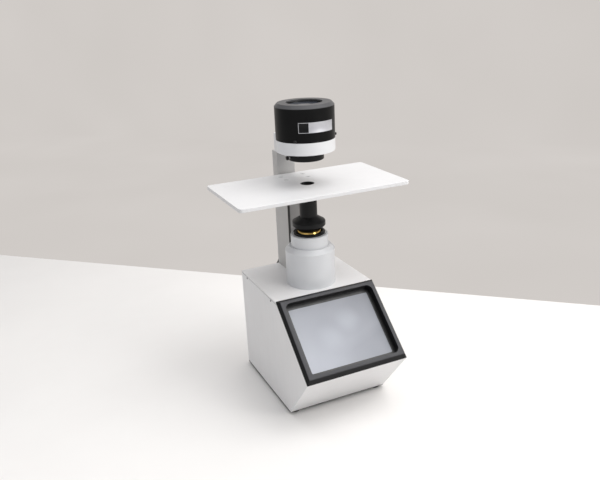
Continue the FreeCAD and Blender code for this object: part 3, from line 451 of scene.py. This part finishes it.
for name, width in (("chassis", 0.0006), ("deck_lid", 0.0006), ("rear_pan", 0.0006), ("column", 0.0006),
                    ("column_back_cover", 0.0004), ("screen_bezel", 0.0012), ("lamp_housing", 0.0007),
                    ("head_cover", 0.0008), ("head_collar", 0.0005), ("objective_barrel", 0.0005),
                    ("nosepiece_tube", 0.0009), ("stage_bracket", 0.0004), ("power_inlet", 0.0005),
                    ("power_rocker", 0.0006), ("threaded_sleeve", 0.0003)):
    soften(name, width)


# ------------------------------------------------------------------ mesh helpers
def finish_mesh(name, bm, mats, body, smooth_angle=32.0):
    bmesh.ops.recalc_face_normals(bm, faces=bm.faces)
    me = bpy.data.meshes.new(name)
    bm.to_mesh(me)
    bm.free()
    for m in mats:
        me.materials.append(m)
    for p in me.polygons:
        p.use_smooth = True
    me.set_sharp_from_angle(angle=math.radians(smooth_angle))
    o = bpy.data.objects.new(name, me)
    scene.collection.objects.link(o)
    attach(o, body)
    return o


def basis(axis):
    z = Vector(axis).normalized()
    x = z.orthogonal().normalized() if abs(z.z) > 0.9 else Vector((0, 0, 1)).cross(z).normalized()
    y = z.cross(x)
    return x, y, z


def add_lathe(bm, profile, segs, origin, axis=(0, 0, 1), wave=None, mat=0, closed=True):
    """Rings of (radius, height) about an axis.  wave(i, r, h) may change the radius
    of column i.  A radius of 0 makes a pole."""
    x, y, z = basis(axis)
    o = Vector(origin)
    rings = []
    for r, h in profile:
        if r <= 1e-9:
            rings.append([bm.verts.new(o + z * h)])
            continue
        ring = []
        for i in range(segs):
            a = 2 * math.pi * i / segs
            rr = wave(i, r, h) if wave else r
            ring.append(bm.verts.new(o + x * (rr * math.cos(a)) + y * (rr * math.sin(a)) + z * h))
        rings.append(ring)
    pairs = list(zip(rings, rings[1:]))
    if closed and len(rings[0]) > 1 and len(rings[-1]) > 1:
        pairs.append((rings[-1], rings[0]))
    for a, b in pairs:
        n = max(len(a), len(b))
        for i in range(n):
            j = (i + 1) % n
            if len(a) == 1:
                f = bm.faces.new((a[0], b[i], b[j]))
            elif len(b) == 1:
                f = bm.faces.new((a[i], b[0], a[j]))
            else:
                f = bm.faces.new((a[i], b[i], b[j], a[j]))
            f.material_index = mat


def star(kind, size, n):
    """Radius of a screw's drive recess at column i of n."""
    out = []
    for i in range(n):
        a = 2 * math.pi * i / n
        if kind == "hex":
            k = (a + math.pi / 6) % (math.pi / 3) - math.pi / 6
            out.append(size / math.cos(k))
        else:
            w = size * 0.21
            c, s = abs(math.cos(a)), abs(math.sin(a))
            r1 = min(size / max(c, 1e-6), w / max(s, 1e-6))
            r2 = min(size / max(s, 1e-6), w / max(c, 1e-6))
            out.append(max(r1, r2))
    return out


def add_screw(bm, seat, axis, head_r, head_h, kind="cross", drive=None, depth=None, dome=0.25, flat=False, turn=0.0, shank=None):
    """A screw head with a rounded rim and a recessed drive, on its seat plane."""
    n = 48
    x, y, z = basis(axis)
    q = Matrix.Rotation(turn, 3, z)
    x, y = q @ x, q @ y
    o = Vector(seat)
    drive = drive or head_r * 0.52
    depth = depth or head_h * 0.6
    prof = []
    if flat:
        prof = [(head_r * 0.55, -head_r * 0.45), (head_r, 0.0)]
        top = 0.0
    else:
        prof = [(head_r, 0.0), (head_r, head_h * 0.45)]
        for k in range(1, 6):
            a = k / 5.0 * math.pi / 2
            prof.append((head_r * (1 - dome) + head_r * dome * math.cos(a), head_h * 0.45 + head_h * 0.5 * math.sin(a)))
        top = head_h * 0.95
    st = star(kind, drive, n)
    rings = []
    for r, h in prof:
        rings.append([o + x * (r * math.cos(2 * math.pi * i / n)) + y * (r * math.sin(2 * math.pi * i / n)) + z * h for i in range(n)])
    rmax = max(st)
    rings.append([o + x * ((rmax * 1.12) * math.cos(2 * math.pi * i / n)) + y * ((rmax * 1.12) * math.sin(2 * math.pi * i / n)) + z * (top + (0 if flat else head_h * 0.03)) for i in range(n)])
    rings.append([o + x * (st[i] * math.cos(2 * math.pi * i / n)) + y * (st[i] * math.sin(2 * math.pi * i / n)) + z * (top + (0 if flat else head_h * 0.03)) for i in range(n)])
    rings.append([o + x * (st[i] * 0.86 * math.cos(2 * math.pi * i / n)) + y * (st[i] * 0.86 * math.sin(2 * math.pi * i / n)) + z * (top - depth) for i in range(n)])
    vs = [[bm.verts.new(p) for p in ring] for ring in rings]
    for a, b in zip(vs, vs[1:]):
        for i in range(n):
            j = (i + 1) % n
            bm.faces.new((a[i], b[i], b[j], a[j]))
    c = bm.verts.new(o + z * (top - depth))
    for i in range(n):
        bm.faces.new((vs[-1][i], c, vs[-1][(i + 1) % n]))
    if shank:
        r, length = shank
        low = [bm.verts.new(o + x * (r * math.cos(2 * math.pi * i / n)) + y * (r * math.sin(2 * math.pi * i / n)) + z * (prof[0][1])) for i in range(n)]
        end = [bm.verts.new(o + x * (r * math.cos(2 * math.pi * i / n)) + y * (r * math.sin(2 * math.pi * i / n)) - z * length) for i in range(n)]
        for i in range(n):
            j = (i + 1) % n
            bm.faces.new((vs[0][i], vs[0][j], low[j], low[i]))
            bm.faces.new((low[i], low[j], end[j], end[i]))
        bm.faces.new(list(reversed(end)))
    else:
        bm.faces.new(list(reversed(vs[0])))


# ------------------------------------------------------------------ screws
bm = bmesh.new()
for s in (-1, 1):
    for k, y in enumerate((0.032, 0.160)):
        add_screw(bm, (s * 0.105, REAR - y, 0.2173), (s, 0, 0), 0.0021, 0.0008, "cross", 0.0012, 0.0005, turn=0.4 + k,
                  shank=(0.0011, 0.006))
lid_screws = finish_mesh("side_screws", bm, [M["side_steel"]], "stand")
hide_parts("lid_screws")

bm = bmesh.new()
spots = [(s * 0.096, z) for s in (-1, 1) for z in (0.024, 0.109, 0.202)] + [(0.0, DECK + 0.0135), (0.0, DECK + 0.2295)]
for k, (x, z) in enumerate(spots):
    add_screw(bm, (x, REAR, z), (0, 1, 0), 0.0028, 0.0015, "cross", 0.0016, 0.0008, turn=0.7 * k, shank=(0.00145, 0.007))
pan_screws = finish_mesh("pan_screws", bm, [M["zinc_steel"]], "stand")
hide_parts("panel_screws")

bm = bmesh.new()
for q in (-134, -14, 106):
    a = math.radians(q)
    d = Vector((math.cos(a), math.sin(a), 0))
    seat = AX + d * 0.0560 + Vector((0, 0, DECK + 0.2946))
    add_screw(bm, seat, d, 0.0028, 0.0040, "hex", 0.00135, 0.0016, dome=0.35, turn=0.3, shank=(0.0015, 0.006))
head_screws = finish_mesh("head_cover_screws", bm, [M["screw_black"]], "stand")
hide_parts("cover_screws")

bm = bmesh.new()
k = 0
for sx in (-1, 1):
    for d in (0.050, 0.0765):
        k += 1
        add_screw(bm, (sx * 0.024, REAR - d, DECK + 0.2029), (0, 0, 1), 0.0051, 0.001, "hex", 0.0018, 0.0015, flat=True,
                  turn=0.5 * k, shank=(0.0024, 0.0105))
stage_screws = finish_mesh("stage_top_screws", bm, [M["stage_steel"]], "stand")
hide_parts("stage_screws")

bm = bmesh.new()
for sx in (-1, 1):
    for d in (0.2155, 0.024):
        add_screw(bm, (sx * 0.091, REAR - d, 0.0025), (0, 0, -1), 0.0035, 0.0014, "cross", 0.0019, 0.0009, turn=0.3, shank=(0.002, 0.009))
under_screws = finish_mesh("foot_fixing_screws", bm, [M["zinc_steel"]], "stand")
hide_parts("foot_screws")

# ------------------------------------------------------------------ knurled lock screw
lz = DECK + 0.2573
bm = bmesh.new()
n = 96


def lock_wave(i, r, h):
    if r > 0.0035 and 0.0124 < h < 0.0152:
        return r - (0.00028 if (i // 2) % 2 else 0.0)
    return r


prof = [(0.0, 0.0), (0.0011, 0.0), (0.0015, 0.0005)]
h = 0.0010
while h < 0.0108:                               # thread crests on the shank
    prof += [(0.0015, h), (0.00128, h + 0.00025)]
    h += 0.0005
prof += [(0.0015, 0.0112), (0.0015, 0.01215), (0.0024, 0.01215), (0.0037, 0.01215), (0.0040, 0.01245), (0.0040, 0.0151),
         (0.0037, 0.0155), (0.0031, 0.01595), (0.0022, 0.01595), (0.0018, 0.0156), (0.0, 0.0156)]
add_lathe(bm, prof, n, (-0.02525, AX.y, lz), (-1, 0, 0), wave=lock_wave, closed=False)
lock = finish_mesh("lock_thumbscrew", bm, [M["bright_steel"], M["anodised_black"]], "lock_screw_body", 40)
for p in lock.data.polygons:
    if (-p.center.x - 0.02525) > 0.0119:
        p.material_index = 1
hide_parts("lock_screw")

# ------------------------------------------------------------------ knurled focus ring
rz = DECK
bm = bmesh.new()


def ring_wave(i, r, h):
    if r > 0.0309 and 0.1032 < h < 0.1066:
        return r - (0.00035 if i % 2 else 0.0)
    return r


prof = [(0.02315, 0.0922), (0.0270, 0.0922), (0.0270, 0.10215), (0.0300, 0.10215), (0.0309, 0.1024), (0.0313, 0.1029), (0.0313, 0.1033),
        (0.0313, 0.1065), (0.0313, 0.1068), (0.0308, 0.1072), (0.0303, 0.1075), (0.0275, 0.1075), (0.0269, 0.1070), (0.0262, 0.1052),
        (0.0253, 0.1034), (0.0250, 0.1030), (0.0235, 0.1030), (0.02315, 0.1027)]
add_lathe(bm, prof, 240, (0, AX.y, rz), wave=ring_wave, closed=True)
ring = finish_mesh("focus_ring_knurled", bm, [M["anodised_black"]], "focus_ring_body", 38)
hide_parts("focus_ring")

# ------------------------------------------------------------------ fine thread on the brass sleeve
bm = bmesh.new()
prof = [(0.0220, 0.1020), (0.0230, 0.1020)]
h = 0.1021
while h < 0.1090:
    prof += [(0.02308, h + 0.00005), (0.02300, h + 0.00027)]
    h += 0.00027
prof += [(0.0224, h + 0.0002), (0.0220, h + 0.0002)]
add_lathe(bm, prof, 160, (0, AX.y, rz), closed=True)
thread = finish_mesh("sleeve_thread", bm, [M["brass"]], "nosepiece", 8)

# ------------------------------------------------------------------ blank name plate
bm = bmesh.new()
cols, z0, z1 = 72, DECK + 0.3095, DECK + 0.3283
a0, a1 = math.radians(-127.5), math.radians(-54.0)
r_in, r_base, r_rim = 0.05602, 0.05632, 0.05650


def at(a, r, z):
    return Vector((r * math.cos(a), AX.y + r * math.sin(a), z))


edge_a, edge_z = math.radians(0.9), 0.0009
split = a0 + (a1 - a0) * 0.27
ang = sorted(set([a0, a0 + edge_a, a1 - edge_a, a1, split - edge_a * 0.8, split] +
                 [a0 + (a1 - a0) * i / cols for i in range(cols + 1)]))
levels = [z0, z0 + edge_z, z0 + edge_z + 0.0002, z1 - edge_z - 0.0002, z1 - edge_z, z1]
ang2 = []
for a in ang:
    if not ang2 or a - ang2[-1] > math.radians(0.12):
        ang2.append(a)


def kind(a, z):
    border = a < a0 + edge_a or a > a1 - edge_a or z < z0 + edge_z or z > z1 - edge_z or split - edge_a * 0.8 < a < split
    if border:
        return 0
    return 1 if a < split - edge_a * 0.8 else 2


grid = []
for a in ang2:
    row = []
    for z in levels:
        on_border = (a <= a0 + edge_a + 1e-6 or a >= a1 - edge_a - 1e-6 or z <= z0 + edge_z + 1e-6 or z >= z1 - edge_z - 1e-6
                     or split - edge_a * 0.8 - 1e-6 <= a <= split + 1e-6)
        row.append(bm.verts.new(at(a, r_rim if on_border else r_base, z)))
    grid.append(row)
for i in range(len(grid) - 1):
    for j in range(len(levels) - 1):
        f = bm.faces.new((grid[i][j], grid[i + 1][j], grid[i + 1][j + 1], grid[i][j + 1]))
        am, zm = 0.5 * (ang2[i] + ang2[i + 1]), 0.5 * (levels[j] + levels[j + 1])
        f.material_index = {0: 0, 1: 1, 2: 0}[kind(am, zm)]
back = [[bm.verts.new(at(a, r_in, z)) for z in (z0, z1)] for a in ang2]
for i in range(len(back) - 1):
    bm.faces.new((back[i][0], back[i][1], back[i + 1][1], back[i + 1][0]))
    bm.faces.new((grid[i][0], back[i][0], back[i + 1][0], grid[i + 1][0]))
    bm.faces.new((grid[i][-1], grid[i + 1][-1], back[i + 1][1], back[i][1]))
bm.faces.new([back[0][0]] + grid[0] + [back[0][1]])
bm.faces.new([back[-1][1]] + list(reversed(grid[-1])) + [back[-1][0]])
plate = finish_mesh("blank_name_plate", bm, [M["plate_silver"], M["plate_black"]], "stand", 50)
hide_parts("name_plate")

# ------------------------------------------------------------------ data socket tongues
bm = bmesh.new()
for dz in (0.0044, -0.0044):
    z = 0.004 + 0.044 + dz + 0.0011
    lo, hi = Vector((0.008 - 0.0055, REAR - 0.014, z - 0.0009)), Vector((0.008 + 0.0055, REAR - 0.0032, z + 0.0009))
    c = bmesh.ops.create_cube(bm, size=1.0, matrix=Matrix.Translation((lo + hi) / 2) @ Matrix.Diagonal(((hi - lo).x, (hi - lo).y, (hi - lo).z, 1)))
    bmesh.ops.bevel(bm, geom=list({e for v in c["verts"] for e in v.link_edges}), offset=0.0003, segments=2, affect="EDGES")
tongues = finish_mesh("data_socket_tongues", bm, [M["socket_blue"]], "stand")

# ------------------------------------------------------------------ stage set
def ground(u, v):
    """Point of the floor seen at (u, v) of a 600 x 480 picture."""
    d = fwd * FOCAL + right * (u - PPX) - over * (v - PPY)
    o = cam.matrix_world.translation
    k = -o.z / d.z
    return o + d * k


pl, pr = ground(184, 270.5), ground(450, 293)
dirn = (pr - pl).normalized()
outn = Vector((-dirn.y, dirn.x, 0))
far_l, far_r = pl - dirn * 6.0, pr + dirn * 6.0
me = bpy.data.meshes.new("floor")
bm = bmesh.new()
vs = [bm.verts.new(p) for p in (far_l, far_r, far_r - outn * 9.0, far_l - outn * 9.0)]
bm.faces.new(vs)
bmesh.ops.recalc_face_normals(bm, faces=bm.faces)
bm.to_mesh(me)
bm.free()
floor = bpy.data.objects.new("floor", me)
scene.collection.objects.link(floor)
fm, fnt, fb = new_tree("floor_pale")
fv = coords(fnt)
link(fnt, mix(fnt, span(fnt, noise(fnt, fv, 3.0, 3.0), 0.0, 1.0), (0.80, 0.787, 0.777), (0.83, 0.817, 0.807)), fb.inputs["Base Color"])
link(fnt, span(fnt, noise(fnt, fv, 30.0, 3.0), 0.50, 0.62), fb.inputs["Roughness"])
me.materials.append(fm)

# a pale backdrop: it lies flat behind the floor's far edge, then rises
BACK = 2.0
me = bpy.data.meshes.new("backdrop")
bm = bmesh.new()
row = [[bm.verts.new(e + outn * d + Vector((0, 0, z))) for e in (pl - dirn * 9.0, pr + dirn * 9.0)]
       for d, z in ((0.0, 0.0), (BACK, 0.0), (BACK, 6.0))]
for q0, q1 in zip(row, row[1:]):
    bm.faces.new((q0[0], q0[1], q1[1], q1[0]))
bm.to_mesh(me)
bm.free()
wall = bpy.data.objects.new("backdrop", me)
scene.collection.objects.link(wall)
wm = bpy.data.materials.new("wall_pale")
wm.use_nodes = True
wnt = wm.node_tree
for n in list(wnt.nodes):
    wnt.nodes.remove(n)
wout = wnt.nodes.new("ShaderNodeOutputMaterial")
wem = wnt.nodes.new("ShaderNodeEmission")
link(wnt, wem.outputs[0], wout.inputs["Surface"])
wv = coords(wnt)
wcol = mix(wnt, span(wnt, noise(wnt, wv, 1.2, 2.0), 0.0, 1.0), (0.62, 0.587, 0.560), (0.65, 0.616, 0.590))
link(wnt, wcol, wem.inputs["Color"])
wem.inputs["Strength"].default_value = 1.0
me.materials.append(wm)


def area(name, loc, target, size, power, color=(1, 1, 1)):
    ld = bpy.data.lights.new(name, "AREA")
    ld.shape = "RECTANGLE"
    ld.size, ld.size_y = size
    ld.energy = power
    ld.color = color
    lo = bpy.data.objects.new(name, ld)
    lo.location = loc
    lo.rotation_euler = (Vector(target) - Vector(loc)).to_track_quat("-Z", "Y").to_euler()
    scene.collection.objects.link(lo)
    return lo


area("key", (1.2, -1.05, 2.2), (0, 0, 0.25), (2.2, 1.8), 36.5, (1.0, 0.99, 0.97))
area("fill", (-1.7, -1.0, 1.2), (0, 0, 0.3), (1.8, 1.6), 2.6, (0.97, 0.98, 1.0))
area("top", (0.1, 0.0, 2.3), (0, 0, 0.2), (2.4, 2.0), 28.5, (1, 1, 1))
area("glint", (0.75, -1.35, 0.95), (0, 0.03, 0.33), (0.5, 0.5), 4.5, (1.0, 0.98, 0.94))
world = bpy.data.worlds.new("World")
scene.world = world
world.use_nodes = True
bg = world.node_tree.nodes.get("Background")
bg.inputs["Color"].default_value = (0.93, 0.94, 0.96, 1)
bg.inputs["Strength"].default_value = 0.47
scene.view_settings.view_transform = "Standard"
scene.view_settings.look = "None"
